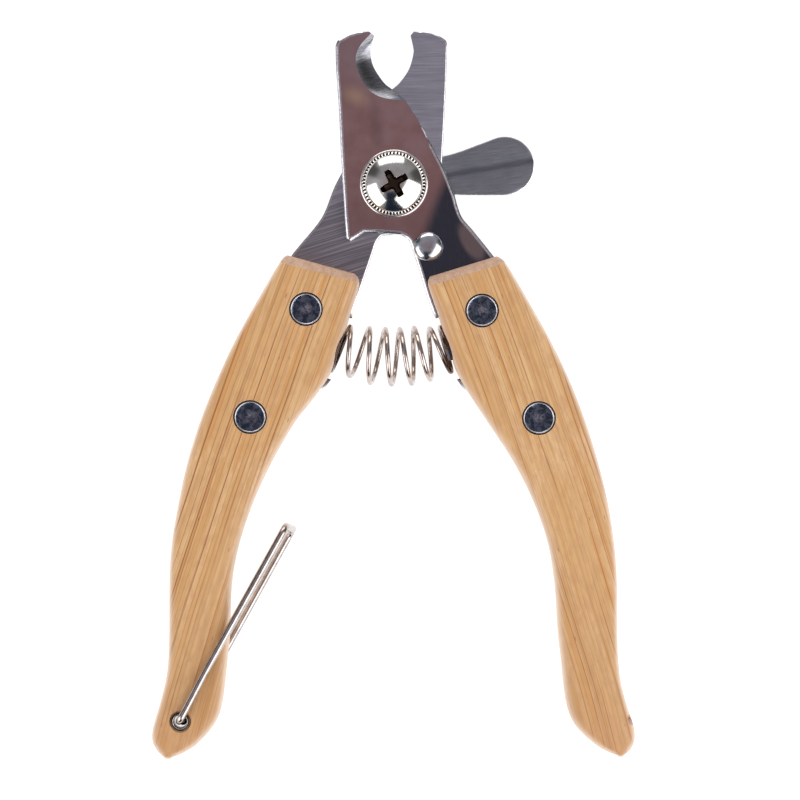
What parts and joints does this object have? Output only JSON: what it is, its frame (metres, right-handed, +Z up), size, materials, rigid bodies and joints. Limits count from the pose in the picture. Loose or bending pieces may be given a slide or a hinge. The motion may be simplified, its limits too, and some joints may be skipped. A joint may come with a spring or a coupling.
{
  "type": "pet nail trimmer",
  "caption": "Bypass pet nail trimmer with bamboo handles, sprung open, with a swing-away nail guard and a wire latch that holds it shut.",
  "frame": {"origin": "on the pivot screw's axis, at the flat end of the screw, in the plane that the trimmer lies on", "axes": "+Y from the pivot towards the jaws, +Z up from the surface it lies on towards the screw's head, +X to the right"},
  "size_m": [0.0991, 0.1499, 0.015],
  "materials": {
    "polished_steel": "polished flat, fine vertical marks, darker towards the tang",
    "brushed_steel": "ground, fine parallel lines across the blade",
    "guard_steel": "satin sheet steel",
    "nickel_plate": "bright nickel plate",
    "dark_rivet": "dark steel face, bright rim",
    "spring_wire": "bright drawn wire",
    "bamboo": "sanded laminated bamboo, clear satin oil, straight grain"
  },
  "bodies": {
    "frame": {"rear_blade": "brushed_steel", "left_handle": "bamboo", "left_upper_rivet_front": "dark_rivet", "left_upper_rivet_back": "dark_rivet", "left_lower_rivet_front": "dark_rivet", "left_lower_rivet_back": "dark_rivet", "pivot_screw": "nickel_plate", "serrated_washer": "nickel_plate", "wave_washer": "nickel_plate", "pivot_nut": "nickel_plate", "bail_eyelet": "nickel_plate", "return_spring": "spring_wire"},
    "arm": {"front_blade": "polished_steel", "stop_rivet": "nickel_plate", "right_handle": "bamboo", "right_upper_rivet_front": "dark_rivet", "right_upper_rivet_back": "dark_rivet", "right_lower_rivet_front": "dark_rivet", "right_lower_rivet_back": "dark_rivet"},
    "guard": {"nail_guard": "guard_steel"},
    "latch": {"latch_bail": "spring_wire"}
  },
  "joints": [
    {"name": "handle_squeeze", "type": "hinge", "parent": "frame", "child": "arm", "pos_m": [0, 0, 0.0075], "axis": [0, 0, -1], "range_deg": [0, 24.5], "stiffness_Nm_per_rad": 1.28, "springref_deg": -9.34, "deforming": ["return_spring"]},
    {"name": "guard_swing", "type": "hinge", "parent": "frame", "child": "guard", "pos_m": [0, 0, 0.0046], "axis": [0, 0, 1], "range_deg": [-25, 81]},
    {"name": "latch_swing", "type": "hinge", "parent": "frame", "child": "latch", "pos_m": [-0.044, -0.1108, 0.0075], "axis": [0, 0, 1], "range_deg": [-327, 8]}
  ]
}
